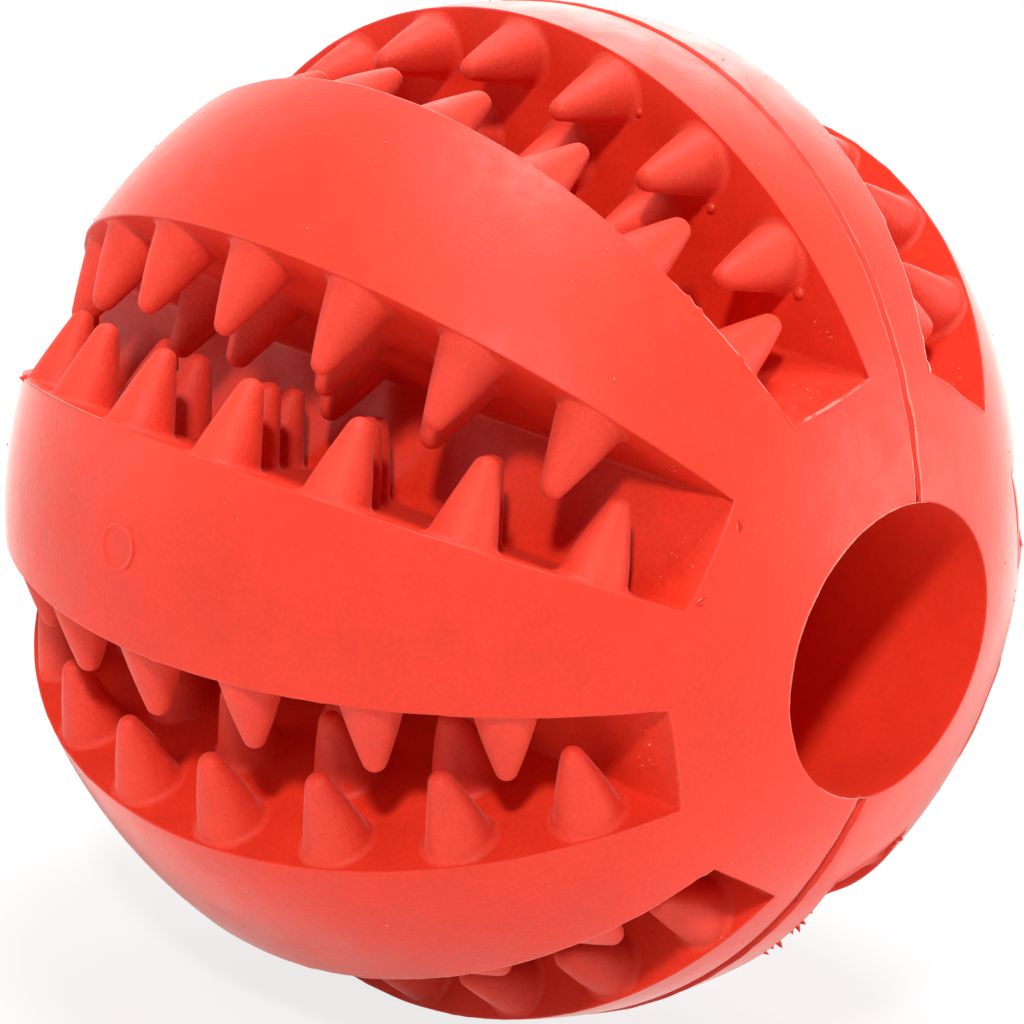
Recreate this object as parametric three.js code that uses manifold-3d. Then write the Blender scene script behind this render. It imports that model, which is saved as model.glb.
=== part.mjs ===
// Chew ball: a rubber treat ball with a through bore and eight slots lined with teeth.
// It is moulded in two halves, bonded face to face at the seam.
// Millimetres, +Z up. The origin is the ball's centre, the bore runs along X and the seam is the XZ plane.
// Angles round the bore start at +Z and grow towards -Y, so the front half (-Y) holds 0 to 180 degrees.
import * as THREE from 'three';
import { mergeVertices } from 'three/addons/utils/BufferGeometryUtils.js';
import Module from 'manifold-3d';

// Ball and bore
const BALL_DIAMETER = 70;
const BORE_DIAMETER = 19.6;

// Seam bead: the thin line of rubber that stands proud where the halves meet
const SEAM_BEAD_HEIGHT = 0.2;
const SEAM_BEAD_WIDTH = 0.7;

// Slots: a flat floor along the bore, and two flat walls that spread outwards from its edges
const SLOTS_PER_HALF = 4;
const SLOT_ANGLE = 20.8; // degrees between the walls
const FLOOR_FROM_AXIS = 17;
const FLOOR_WIDTH = 7.4;

// Teeth: rounded cones in staggered rows on both walls of a slot
const TOOTH_FOOT_DIAMETER = 4.5;
const TOOTH_TIP_RADIUS = 0.85;
const TOOTH_LENGTH = 5.5;
const TOOTH_LENGTH_STEP = 0.25; // how much shorter the teeth of each deeper row are
const TOOTH_LEAN = 2.5; // degrees from square to the wall, towards the floor
const TOOTH_SINK = 0.35; // how far a tooth runs into its wall, so that the two join

// Gaps round a tooth's foot
const FOOT_TO_RIM = 0.3;
const FOOT_TO_FLOOR = 0.3;
const FOOT_TO_NEXT_FOOT = 3.76;
const FOOT_TO_NEXT_ROW = 1.45;

// Fineness of the round surfaces
const STEPS_PER_HALF_TURN = 32;
const TOOTH_SIDES = 8;

const RUBBER_RED = 0xe63b2a;

// Sizes worked out from the ones above
const ballRadius = BALL_DIAMETER / 2;
const beadRadius = ballRadius + SEAM_BEAD_HEIGHT;
const footRadius = TOOTH_FOOT_DIAMETER / 2;
const firstRowRadius = ballRadius - FOOT_TO_RIM - footRadius;
const rowSpacing = TOOTH_FOOT_DIAMETER + FOOT_TO_NEXT_ROW;
const toothPitch = TOOTH_FOOT_DIAMETER + FOOT_TO_NEXT_FOOT;
const reach = beadRadius * 1.5; // half the length of a cutter, clear of the ball all round
const halfSlotAngle = THREE.MathUtils.degToRad(SLOT_ANGLE / 2);
const slotPitchAngle = Math.PI / SLOTS_PER_HALF;

// A wall's plane passes the bore's axis at this distance, and the floor starts this far up the wall
const wallOffset = (FLOOR_WIDTH / 2) * Math.cos(halfSlotAngle) - FLOOR_FROM_AXIS * Math.sin(halfSlotAngle);
const floorOnWall = FLOOR_FROM_AXIS * Math.cos(halfSlotAngle) + (FLOOR_WIDTH / 2) * Math.sin(halfSlotAngle);

const wasm = await Module();
wasm.setup();

function toSolid(geometry) {
  const bare = geometry.index ? geometry.toNonIndexed() : geometry.clone();
  bare.deleteAttribute('normal');
  bare.deleteAttribute('uv');
  const merged = mergeVertices(bare, 1e-5);
  const triVerts = [];
  const corners = merged.index.array;
  for (let i = 0; i < corners.length; i += 3) {
    const [a, b, c] = [corners[i], corners[i + 1], corners[i + 2]];
    if (a !== b && b !== c && c !== a) triVerts.push(a, b, c);
  }
  return new wasm.Manifold(new wasm.Mesh({
    numProp: 3,
    vertProperties: new Float32Array(merged.attributes.position.array),
    triVerts: new Uint32Array(triVerts),
  }));
}

function toGeometry(solid) {
  const mesh = solid.getMesh();
  const geometry = new THREE.BufferGeometry();
  geometry.setAttribute('position', new THREE.BufferAttribute(mesh.vertProperties, 3));
  geometry.setIndex(new THREE.BufferAttribute(mesh.triVerts, 1));
  geometry.computeVertexNormals();
  return geometry;
}

// Unit vector away from the bore's axis, at an angle round it
function outwards(angle) {
  return new THREE.Vector3(0, -Math.sin(angle), Math.cos(angle));
}

// Unit vector round the bore's axis, the way that the angle grows
function onwards(angle) {
  return new THREE.Vector3(0, -Math.cos(angle), -Math.sin(angle));
}

// The whole ball without its bore, turned so that its poles lie on X
function makeBall() {
  const profile = [];
  for (let step = 0; step <= STEPS_PER_HALF_TURN; step += 1) {
    const angle = (step / STEPS_PER_HALF_TURN - 0.5) * Math.PI;
    const fromAxis = step % STEPS_PER_HALF_TURN === 0 ? 0 : ballRadius * Math.cos(angle);
    profile.push(new THREE.Vector2(fromAxis, ballRadius * Math.sin(angle)));
  }
  const geometry = new THREE.LatheGeometry(profile, 2 * STEPS_PER_HALF_TURN);
  return toSolid(geometry.rotateZ(-Math.PI / 2));
}

function makeSeamBead() {
  const disc = new THREE.CylinderGeometry(beadRadius, beadRadius, SEAM_BEAD_WIDTH, 2 * STEPS_PER_HALF_TURN);
  return toSolid(disc);
}

function makeBore() {
  const boreRadius = BORE_DIAMETER / 2;
  const cutter = new THREE.CylinderGeometry(boreRadius, boreRadius, 2 * reach, 2 * STEPS_PER_HALF_TURN);
  return toSolid(cutter.rotateZ(-Math.PI / 2));
}

// A wedge that opens outwards from the flat floor and runs out through the ball at both ends
function makeSlotCutter(slotAngle) {
  const halfFloor = FLOOR_WIDTH / 2;
  const halfMouth = halfFloor + (reach - FLOOR_FROM_AXIS) * Math.tan(halfSlotAngle);
  const section = new THREE.Shape([
    new THREE.Vector2(-halfFloor, FLOOR_FROM_AXIS),
    new THREE.Vector2(halfFloor, FLOOR_FROM_AXIS),
    new THREE.Vector2(halfMouth, reach),
    new THREE.Vector2(-halfMouth, reach),
  ]);
  const wedge = new THREE.ExtrudeGeometry(section, { depth: 2 * reach, bevelEnabled: false });
  wedge.translate(0, 0, -reach);
  const alongBore = new THREE.Vector3(-1, 0, 0);
  const turn = new THREE.Matrix4().makeBasis(onwards(slotAngle), outwards(slotAngle), alongBore);
  return toSolid(wedge.applyMatrix4(turn));
}

// A cone with a rounded tip, standing along +Y with its foot at the origin
function makeToothShape(length) {
  const shoulderHeight = length - TOOTH_TIP_RADIUS;
  const flare = (footRadius - TOOTH_TIP_RADIUS) / shoulderHeight;
  const profile = [
    new THREE.Vector2(0, -TOOTH_SINK),
    new THREE.Vector2(footRadius + flare * TOOTH_SINK, -TOOTH_SINK),
    new THREE.Vector2(TOOTH_TIP_RADIUS, shoulderHeight),
    new THREE.Vector2(TOOTH_TIP_RADIUS * Math.SQRT1_2, shoulderHeight + TOOTH_TIP_RADIUS * Math.SQRT1_2),
    new THREE.Vector2(0, length),
  ];
  return new THREE.LatheGeometry(profile, TOOTH_SIDES);
}

// Turns along one row, from the ball's middle: every foot that fits between the floor and the slot's ends
function rowTurns(rowRadius, startsBetween) {
  const turns = [];
  const pitch = toothPitch / rowRadius;
  const start = startsBetween ? pitch / 2 : 0;
  const lowestFoot = floorOnWall + FOOT_TO_FLOOR + footRadius;
  for (let turn = start; rowRadius * Math.cos(turn) >= lowestFoot; turn += pitch) {
    turns.push(turn);
    if (turn > 0) turns.push(-turn);
  }
  return turns;
}

// The teeth of one wall: side -1 is the wall where the slot begins, +1 the wall where it ends
function makeWallTeeth(slotAngle, side) {
  const wallAngle = slotAngle + side * halfSlotAngle;
  const rise = halfSlotAngle - THREE.MathUtils.degToRad(TOOTH_LEAN);
  const direction = onwards(slotAngle).multiplyScalar(-side * Math.cos(rise));
  direction.addScaledVector(outwards(slotAngle), Math.sin(rise));
  const turn = new THREE.Quaternion().setFromUnitVectors(new THREE.Vector3(0, 1, 0), direction);
  const teeth = [];
  let row = 0;
  for (let radius = firstRowRadius; radius > floorOnWall; radius -= rowSpacing) {
    const startsBetween = (row % 2 === 0) === (side > 0);
    const shape = makeToothShape(TOOTH_LENGTH - row * TOOTH_LENGTH_STEP);
    for (const along of rowTurns(radius, startsBetween)) {
      const foot = outwards(wallAngle).multiplyScalar(radius * Math.cos(along));
      foot.addScaledVector(onwards(wallAngle), side * wallOffset);
      foot.x = radius * Math.sin(along);
      teeth.push(toSolid(shape.clone().applyQuaternion(turn).translate(foot.x, foot.y, foot.z)));
    }
    row += 1;
  }
  return teeth;
}

// The half on the -Y side of the seam
function makeHalf() {
  const keep = new THREE.BoxGeometry(2 * reach, reach, 2 * reach).translate(0, -reach / 2, 0);
  let half = makeBall().add(makeSeamBead()).intersect(toSolid(keep));
  for (let slot = 0; slot < SLOTS_PER_HALF; slot += 1) {
    const slotAngle = (slot + 0.5) * slotPitchAngle;
    half = half.subtract(makeSlotCutter(slotAngle));
    for (const side of [-1, 1]) {
      for (const tooth of makeWallTeeth(slotAngle, side)) half = half.add(tooth);
    }
  }
  return toGeometry(half.subtract(makeBore()));
}

function makeRubber() {
  return new THREE.MeshStandardMaterial({ color: RUBBER_RED, roughness: 0.6, metalness: 0 });
}

const halfGeometry = makeHalf();

const frontHalf = new THREE.Mesh(halfGeometry, makeRubber());
frontHalf.name = 'front_half';

// The rear half comes from the same mould, turned half a turn about the bore
const rearHalf = new THREE.Mesh(halfGeometry.clone(), makeRubber());
rearHalf.name = 'rear_half';
rearHalf.rotation.x = Math.PI;

const chewBall = new THREE.Group();
chewBall.name = 'chew_ball';
chewBall.add(frontHalf, rearHalf);

export default chewBall;
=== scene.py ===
"""Chew ball: fine rubber skins over the two packed halves, studio light and the photograph's camera."""
import math
import bmesh
import bpy
import numpy as np
from mathutils import Matrix, Vector, noise
from mathutils.geometry import delaunay_2d_cdt


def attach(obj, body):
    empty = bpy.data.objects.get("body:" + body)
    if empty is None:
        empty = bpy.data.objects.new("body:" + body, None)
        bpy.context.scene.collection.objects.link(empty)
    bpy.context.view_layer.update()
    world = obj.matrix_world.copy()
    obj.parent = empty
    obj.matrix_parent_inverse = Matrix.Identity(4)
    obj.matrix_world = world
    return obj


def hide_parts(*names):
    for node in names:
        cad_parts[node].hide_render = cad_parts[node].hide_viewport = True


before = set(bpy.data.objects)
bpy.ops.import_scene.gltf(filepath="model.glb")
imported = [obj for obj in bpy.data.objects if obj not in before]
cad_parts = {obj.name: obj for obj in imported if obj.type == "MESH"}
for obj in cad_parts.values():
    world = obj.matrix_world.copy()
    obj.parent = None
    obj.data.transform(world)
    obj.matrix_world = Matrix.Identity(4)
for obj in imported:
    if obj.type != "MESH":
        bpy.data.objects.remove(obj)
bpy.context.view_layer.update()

# The skins are built in mm, and Blender works in metres
MM_PER_METRE = 1000

# Sizes in mm and radians, as in the part's source, apart from a slightly finer tooth tip
BALL_RADIUS = 35.0
BORE_RADIUS = 9.8
FLOOR_FROM_AXIS = 17.0
HALF_FLOOR = 3.7
HALF_SPREAD = math.radians(10.4)
FOOT_RADIUS = 2.25
TIP_RADIUS = 0.8
TOOTH_LENGTH = 5.5
TOOTH_LENGTH_STEP = 0.25
TOOTH_LEAN = math.radians(2.5)
TOOTH_PITCH = 8.26
FIRST_ROW_RADIUS = 32.45
ROW_SPACING = 5.95
FOOT_TO_FLOOR = 0.3
SLOTS = 8
HALF_SECTOR = math.pi / SLOTS

# Roundings that the CAD leaves out, in mm
RIM_ROUND = 0.14
BORE_ROUND = 0.16
CREASE_ROUND = 0.35
FOOT_FILLET = 0.4
LEAST_FILLET = 0.02
FILLET_MARGIN = 0.03  # from a fillet to the rounding beside it
LEAST_FALL = 0.05  # sine of the flattest way down from a tooth's foot to the floor
FAR = 99.0

# Fineness of the skins
TOOTH_SIDES = 32
RIM_STATIONS = 211
CREASE_STATIONS = 120
END_STATIONS = 20
BORE_STATIONS = 61
CAP_ROWS = 17
ROUNDING_STEPS = 4
FILLET_STEPS = 4
CONE_RINGS = 8
TIP_RINGS = 6
POINT_SPACING = 0.9  # between the inner points of a wall or a floor

# Gaps in mm between those inner points and what bounds them
GAP_TO_ROUND_EDGE = 0.5
GAP_TO_CREASE = 0.4
GAP_TO_FILLET = 0.35

# Columns of points over half a rib: coarse ones, then fine ones at these distances from the seam, in mm
COARSE_COLUMNS = 13
COARSE_TO_SEAM = 0.6
SEAM_OFFSETS = (0.5, 0.38, 0.28, 0.2, 0.14, 0.09, 0.045, 0.0)
RIB_COLUMNS = COARSE_COLUMNS + len(SEAM_OFFSETS)

# A wall's plane passes the bore's axis at WALL_OFFSET and cuts the ball in a circle of WALL_RADIUS.
# Heights on a wall start at the middle of that circle, and the floor's edge is at FLOOR_ON_WALL.
WALL_OFFSET = HALF_FLOOR * math.cos(HALF_SPREAD) - FLOOR_FROM_AXIS * math.sin(HALF_SPREAD)
FLOOR_ON_WALL = FLOOR_FROM_AXIS * math.cos(HALF_SPREAD) + HALF_FLOOR * math.sin(HALF_SPREAD)
WALL_RADIUS = math.sqrt(BALL_RADIUS ** 2 - WALL_OFFSET ** 2)
FLAT_RADIUS = WALL_RADIUS - RIM_ROUND
HALF_CREASE = math.sqrt(FLAT_RADIUS ** 2 - FLOOR_ON_WALL ** 2)
FLOOR_RADIUS = math.hypot(HALF_CREASE, HALF_FLOOR)

# The outer end of the rounding at a slot's corner: its angles from +X and from the slot's middle
SHARP_CORNER_THETA = math.asin(math.hypot(FLOOR_FROM_AXIS, HALF_FLOOR) / BALL_RADIUS)
SHARP_CORNER_ANGLE = math.atan2(HALF_FLOOR, FLOOR_FROM_AXIS)
CORNER_THETA = SHARP_CORNER_THETA - RIM_ROUND / BALL_RADIUS
CORNER_ANGLE = SHARP_CORNER_ANGLE + RIM_ROUND / (BALL_RADIUS * math.sin(SHARP_CORNER_THETA))

# The sharp edge of the bore's mouth: its angle from +X and its distance from the ball's middle
MOUTH_THETA = math.asin(BORE_RADIUS / BALL_RADIUS)
MOUTH_X = BALL_RADIUS * math.cos(MOUTH_THETA)

# Stations along a slot. The crease's rounding shrinks to nothing at both ends.
WALL_END_TURN = math.acos(FLOOR_ON_WALL / WALL_RADIUS)
RIM_TURNS = np.linspace(-WALL_END_TURN, WALL_END_TURN, RIM_STATIONS)
CREASE_X = np.linspace(-HALF_CREASE, HALF_CREASE, CREASE_STATIONS)
CREASE_SIZE = np.minimum(CREASE_ROUND, 0.6 * (HALF_CREASE - np.abs(CREASE_X)))
END_Y = np.linspace(-HALF_FLOOR, HALF_FLOOR, END_STATIONS)

# Zones of the skin, in the order of their materials
OUTER, WALL, FLOOR, TOOTH, BORE, JOIN = range(6)


def vec(x, y, z):
    """Points or vectors from their three parts, which are numbers or arrays."""
    parts = np.broadcast_arrays(np.asarray(x, float), np.asarray(y, float), np.asarray(z, float))
    return np.stack(parts, -1)


def unit(v):
    never_zero = 1e-12
    return v / np.maximum(np.linalg.norm(v, axis=-1, keepdims=True), never_zero)


def circle_angles(count):
    return np.arange(count) * 2 * math.pi / count


def oval(count, u, v):
    """Points round an oval about the origin, with half axes u and v."""
    angles = circle_angles(count)
    return np.cos(angles)[:, None] * u + np.sin(angles)[:, None] * v


def on_wall(side, x, h):
    """Point of a slot's wall: x along the bore and h up the wall."""
    y = side * (WALL_OFFSET * math.cos(HALF_SPREAD) + h * math.sin(HALF_SPREAD))
    return vec(x, y, -WALL_OFFSET * math.sin(HALF_SPREAD) + h * math.cos(HALF_SPREAD))


def wall_normal(side):
    return np.array([0.0, -side * math.cos(HALF_SPREAD), math.sin(HALF_SPREAD)])


def wall_up(side):
    return np.array([0.0, side * math.sin(HALF_SPREAD), math.cos(HALF_SPREAD)])


def on_ball(theta, angle):
    """Point of the ball at polar angle theta from +X and at an angle from the slot's middle."""
    around = BALL_RADIUS * np.sin(theta)
    return vec(BALL_RADIUS * np.cos(theta), around * np.sin(angle), around * np.cos(angle))


class Patch:
    """A piece of skin in a slot's own frame: x along the bore, y across the slot, z out through its middle.

    Normals are given where the shape is exact. A lift is the way that flash grows out of a rim.
    """

    def __init__(self, points, faces, zone, normals=None, lifts=None):
        self.points = np.asarray(points, float).reshape(-1, 3)
        self.faces = faces
        self.zone = zone
        self.exact = normals is not None
        shape = self.points.shape
        self.normals = np.broadcast_to(normals, shape) if self.exact else np.zeros(shape)
        self.lifts = np.zeros(shape) if lifts is None else np.asarray(lifts, float).reshape(-1, 3)

    def placed(self, matrix):
        """The same patch in the ball's frame."""
        normals = self.normals @ matrix if self.exact else None
        return Patch(self.points @ matrix, self.faces, self.zone, normals, self.lifts @ matrix)


def grid(points, zone, normals=None, lifts=None):
    """Patch of four-sided faces over rows and columns of points."""
    rows, columns = points.shape[:2]
    i = np.arange((rows - 1) * columns).reshape(rows - 1, columns)[:, :-1].ravel()
    faces = np.stack([i, i + 1, i + columns + 1, i + columns], -1)
    return Patch(points, faces, zone, normals, lifts)


def rounded(inner, outer, corner):
    """Rows of a small rounding that runs from one face to another, and the lift of each point."""
    middle = inner + outer - corner
    out = unit(corner - middle)
    rows = []
    lifts = []
    for step in range(ROUNDING_STEPS + 1):
        turn = step / ROUNDING_STEPS * math.pi / 2
        rows.append(middle + (inner - middle) * math.cos(turn) + (outer - middle) * math.sin(turn))
        lifts.append(out * math.sin(2 * turn) ** 3)
    return np.stack(rows), np.stack(lifts)


def rib_angles(first, around):
    """Angles from a slot's edge to the middle of the rib, finer at the middle, where the seam may run."""
    fine = [HALF_SECTOR - offset / around for offset in SEAM_OFFSETS]
    coarse = np.linspace(first, HALF_SECTOR - COARSE_TO_SEAM / around, COARSE_COLUMNS)
    return np.concatenate([coarse, fine])


def row_feet(side):
    """(x, h, length) of each tooth's foot on one wall."""
    feet = []
    row = 0
    radius = FIRST_ROW_RADIUS
    while radius > FLOOR_ON_WALL:
        pitch = TOOTH_PITCH / radius
        length = TOOTH_LENGTH - row * TOOTH_LENGTH_STEP
        starts_between = (row % 2 == 0) == (side > 0)
        turn = pitch / 2 if starts_between else 0.0
        while radius * math.cos(turn) >= FLOOR_ON_WALL + FOOT_TO_FLOOR + FOOT_RADIUS:
            x = radius * math.sin(turn)
            h = radius * math.cos(turn)
            feet.append((x, h, length))
            if turn > 0:
                feet.append((-x, h, length))
            turn += pitch
        row += 1
        radius -= ROW_SPACING
    return feet


def fillets(x, h):
    """Size of a foot's fillet at each side of the tooth: smaller where the rim or the floor is near."""
    turn = circle_angles(TOOTH_SIDES)
    sin = np.sin(turn)
    along = x * np.cos(turn) + h * sin
    to_rim = -along + np.sqrt(along ** 2 - x * x - h * h + (FLAT_RADIUS - FILLET_MARGIN) ** 2)
    room = h - FLOOR_ON_WALL - CREASE_ROUND - FILLET_MARGIN
    to_floor = np.where(sin < -LEAST_FALL, room / np.maximum(-sin, LEAST_FALL), FAR)
    size = np.minimum(np.minimum(to_rim, to_floor) - FOOT_RADIUS, FOOT_FILLET)
    return np.maximum(size, LEAST_FILLET)


def foot_ring(x, h):
    """The fillet's outer edge round a tooth's foot, on the wall."""
    turn = circle_angles(TOOTH_SIDES)
    radius = FOOT_RADIUS + fillets(x, h)
    return np.stack([x + radius * np.cos(turn), h + radius * np.sin(turn)], -1)


def hexagonal(x_start, x_end, y_start, y_end):
    """Points that fill a rectangle in staggered rows."""
    points = []
    row = 0
    y = y_start
    while y <= y_end:
        shift = POINT_SPACING / 2 if row % 2 else 0
        xs = np.arange(x_start + shift, x_end, POINT_SPACING)
        points.append(np.stack([xs, np.full_like(xs, y)], -1))
        y += POINT_SPACING * math.sqrt(3) / 2
        row += 1
    return np.concatenate(points)


def outside_ring(places, ring):
    """Which places lie outside a round ring of points."""
    after = np.roll(ring, -1, axis=0)
    side = (after[None, :, 0] - ring[None, :, 0]) * (places[:, None, 1] - ring[None, :, 1])
    side = side - (after[None, :, 1] - ring[None, :, 1]) * (places[:, None, 0] - ring[None, :, 0])
    centre = ring.mean(axis=0)
    turn = np.arctan2(places[:, 1] - centre[1], places[:, 0] - centre[0])
    around = np.unwrap(np.arctan2(ring[:, 1] - centre[1], ring[:, 0] - centre[0]))
    onwards = around[0] + np.mod(turn - around[0], 2 * math.pi)
    nearest = np.searchsorted(around, onwards, side="right") - 1
    return side[np.arange(len(places)), nearest] < 0


def triangulate(outline, holes, inner):
    """Triangles of a flat region with round holes. Returns its points and faces."""
    points = [tuple(p) for p in outline]
    edges = [(i, (i + 1) % len(outline)) for i in range(len(outline))]
    for ring in holes:
        start = len(points)
        points += [tuple(p) for p in ring]
        edges += [(start + i, start + (i + 1) % len(ring)) for i in range(len(ring))]
    points += [tuple(p) for p in inner]
    inside_outline = 1
    merge_distance = 1e-7
    made = delaunay_2d_cdt([Vector(p) for p in points], edges, [], inside_outline, merge_distance)
    corners, _, triangles, sources = made[:4]
    exact = np.array([points[s[0]] if len(s) else tuple(c) for c, s in zip(corners, sources)])
    faces = np.array([tuple(t) for t in triangles if len(t) == 3])
    middles = exact[faces].mean(axis=1)
    keep = np.ones(len(faces), bool)
    for ring in holes:
        keep &= outside_ring(middles, ring)
    return exact, faces[keep]


def rim_patches(side):
    """Where a wall meets the ball: the rounded rim, and the ball from there to the middle of the rib."""
    corner = on_wall(side, WALL_RADIUS * np.sin(RIM_TURNS), WALL_RADIUS * np.cos(RIM_TURNS))
    inner = on_wall(side, FLAT_RADIUS * np.sin(RIM_TURNS), FLAT_RADIUS * np.cos(RIM_TURNS))
    inner[0] = on_wall(side, -HALF_CREASE, FLOOR_ON_WALL)
    inner[-1] = on_wall(side, HALF_CREASE, FLOOR_ON_WALL)
    x = corner[:, 0].copy()
    x[-1] = BALL_RADIUS * math.cos(CORNER_THETA)
    x[0] = -x[-1]
    around = np.sqrt(BALL_RADIUS ** 2 - x ** 2)
    first = np.arctan2(np.abs(corner[:, 1]), corner[:, 2]) + RIM_ROUND / around
    first[0] = CORNER_ANGLE
    first[-1] = CORNER_ANGLE
    angles = np.stack([rib_angles(start, radius) for start, radius in zip(first, around)])
    across = side * around[:, None] * np.sin(angles)
    strip = vec(x[:, None], across, around[:, None] * np.cos(angles))
    rows, lifts = rounded(inner, strip[:, 0], corner)
    return [grid(rows, OUTER, None, lifts), grid(strip, OUTER, strip.reshape(-1, 3) / BALL_RADIUS)]


def crease_patch(side):
    """The rounded crease where a wall meets the floor."""
    top = on_wall(side, CREASE_X, FLOOR_ON_WALL + CREASE_SIZE)
    bottom = vec(CREASE_X, side * (HALF_FLOOR - CREASE_SIZE), FLOOR_FROM_AXIS)
    edge = on_wall(side, CREASE_X, FLOOR_ON_WALL)
    return grid(rounded(top, bottom, edge)[0], FLOOR)


def wall_patch(side):
    """A flat wall, with a hole for each tooth."""
    outline = list(zip(CREASE_X, FLOOR_ON_WALL + CREASE_SIZE))
    outline += [(FLAT_RADIUS * math.sin(turn), FLAT_RADIUS * math.cos(turn)) for turn in RIM_TURNS[-2:0:-1]]
    rings = [foot_ring(x, h) for x, h, _ in row_feet(side)]
    inside = hexagonal(-HALF_CREASE, HALF_CREASE, FLOOR_ON_WALL, WALL_RADIUS)
    inside = inside[np.hypot(inside[:, 0], inside[:, 1]) < FLAT_RADIUS - GAP_TO_ROUND_EDGE]
    inside = inside[inside[:, 1] > FLOOR_ON_WALL + CREASE_ROUND + GAP_TO_CREASE]
    for ring in rings:
        from_foot = np.linalg.norm(inside - ring.mean(axis=0), axis=1)
        inside = inside[from_foot > FOOT_RADIUS + FOOT_FILLET + GAP_TO_FILLET]
    flat, faces = triangulate(outline, rings, inside)
    return Patch(on_wall(side, flat[:, 0], flat[:, 1]), faces, WALL, wall_normal(side))


def floor_end(y):
    """How far the flat floor reaches along the bore, at a place across the slot."""
    return np.sqrt(FLOOR_RADIUS ** 2 - y * y)


def floor_patch():
    edge_y = HALF_FLOOR - CREASE_SIZE
    outline = list(zip(CREASE_X, edge_y))
    outline += [(floor_end(y), y) for y in END_Y[-2:0:-1]]
    outline += list(zip(CREASE_X[::-1], -edge_y[::-1]))
    outline += [(-floor_end(y), y) for y in END_Y[1:-1]]
    inside = hexagonal(-FLOOR_RADIUS, FLOOR_RADIUS, -HALF_FLOOR, HALF_FLOOR)
    inside = inside[np.hypot(inside[:, 0], inside[:, 1]) < FLOOR_RADIUS - GAP_TO_ROUND_EDGE]
    inside = inside[np.abs(inside[:, 1]) < HALF_FLOOR - CREASE_ROUND - GAP_TO_CREASE]
    flat, faces = triangulate(outline, [], inside)
    up = np.array([0.0, 0.0, 1.0])
    return Patch(vec(flat[:, 0], flat[:, 1], FLOOR_FROM_AXIS), faces, FLOOR, up)


def end_patches(way):
    """The end of a slot towards +X or -X, down to the bore. The +X one brings the bore's wall as well."""
    mirror = np.array([way, 1, 1])

    # The edge of the floor
    sharp_angle = np.arctan2(END_Y, FLOOR_FROM_AXIS)
    sharp_theta = np.arcsin(np.minimum(FLOOR_FROM_AXIS / (BALL_RADIUS * np.cos(sharp_angle)), 1.0))
    theta = sharp_theta - RIM_ROUND / BALL_RADIUS
    theta[0] = CORNER_THETA
    theta[-1] = CORNER_THETA
    angle = sharp_angle.copy()
    angle[0] = -CORNER_ANGLE
    angle[-1] = CORNER_ANGLE
    corner = vec(way * BALL_RADIUS * np.cos(sharp_theta), END_Y, FLOOR_FROM_AXIS)
    inner = vec(way * floor_end(END_Y), END_Y, FLOOR_FROM_AXIS)
    rows, lifts = rounded(inner, on_ball(theta, angle) * mirror, corner)
    patches = [grid(rows, OUTER, None, lifts)]

    # The ball from there to the bore
    beside = np.full(RIB_COLUMNS - 1, CORNER_THETA)
    start = np.concatenate([beside, theta, beside])[None, :]
    last_theta = MOUTH_THETA + BORE_ROUND / BALL_RADIUS
    thetas = start + (last_theta - start) * np.linspace(0, 1, CAP_ROWS)[:, None]
    angles = []
    for row in thetas:
        ribs = rib_angles(CORNER_ANGLE, BALL_RADIUS * math.sin(row[0]))
        angles.append(np.concatenate([-ribs[:0:-1], angle, ribs[1:]]))
    cap = on_ball(thetas, np.stack(angles)) * mirror
    patches.append(grid(cap, OUTER, cap.reshape(-1, 3) / BALL_RADIUS))

    # The bore's mouth and its wall
    outwards = vec(0, np.sin(angles[-1]), np.cos(angles[-1]))
    flat_x = MOUTH_X - BORE_ROUND
    corner = outwards * BORE_RADIUS + np.array([way * MOUTH_X, 0, 0])
    inner = outwards * BORE_RADIUS + np.array([way * flat_x, 0, 0])
    rows, lifts = rounded(inner, cap[-1], corner)
    patches.append(grid(rows, OUTER, None, lifts))
    if way > 0:
        xs = np.linspace(-flat_x, flat_x, BORE_STATIONS)
        wall = outwards[None] * BORE_RADIUS + vec(xs, 0, 0)[:, None]
        normals = np.broadcast_to(-outwards, wall.shape).reshape(-1, 3)
        patches.append(grid(wall, BORE, normals))
    return patches


def make_shell():
    """The patches of one slot and the two half ribs beside it, without the teeth."""
    patches = []
    for side in (-1, 1):
        patches += rim_patches(side)
        patches += [crease_patch(side), wall_patch(side)]
    patches.append(floor_patch())
    for way in (-1, 1):
        patches += end_patches(way)
    return patches


def seam_patch(shell, side):
    """The flat face where the two halves meet, at one edge of a sector."""
    angle = side * HALF_SECTOR
    outwards = np.array([0.0, math.sin(angle), math.cos(angle)])
    across = np.array([0.0, math.cos(angle), -math.sin(angle)])
    touching = 1e-6
    found = np.concatenate([p.points[np.abs(p.points @ across) < touching] for p in shell])
    found = found[found @ outwards > 0]
    flat = np.stack([found[:, 0], np.linalg.norm(found[:, 1:], axis=1)], -1)
    digits = 7
    flat = flat[np.unique(np.round(flat, digits), axis=0, return_index=True)[1]]
    within = BORE_RADIUS + 5.0  # from the axis to a place well inside the face
    order = np.argsort(np.arctan2(flat[:, 1] - within, flat[:, 0]))
    flat, faces = triangulate(flat[order], [], [])
    return Patch(vec(flat[:, 0], flat[:, 1] * math.sin(angle), flat[:, 1] * math.cos(angle)), faces, JOIN)


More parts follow.
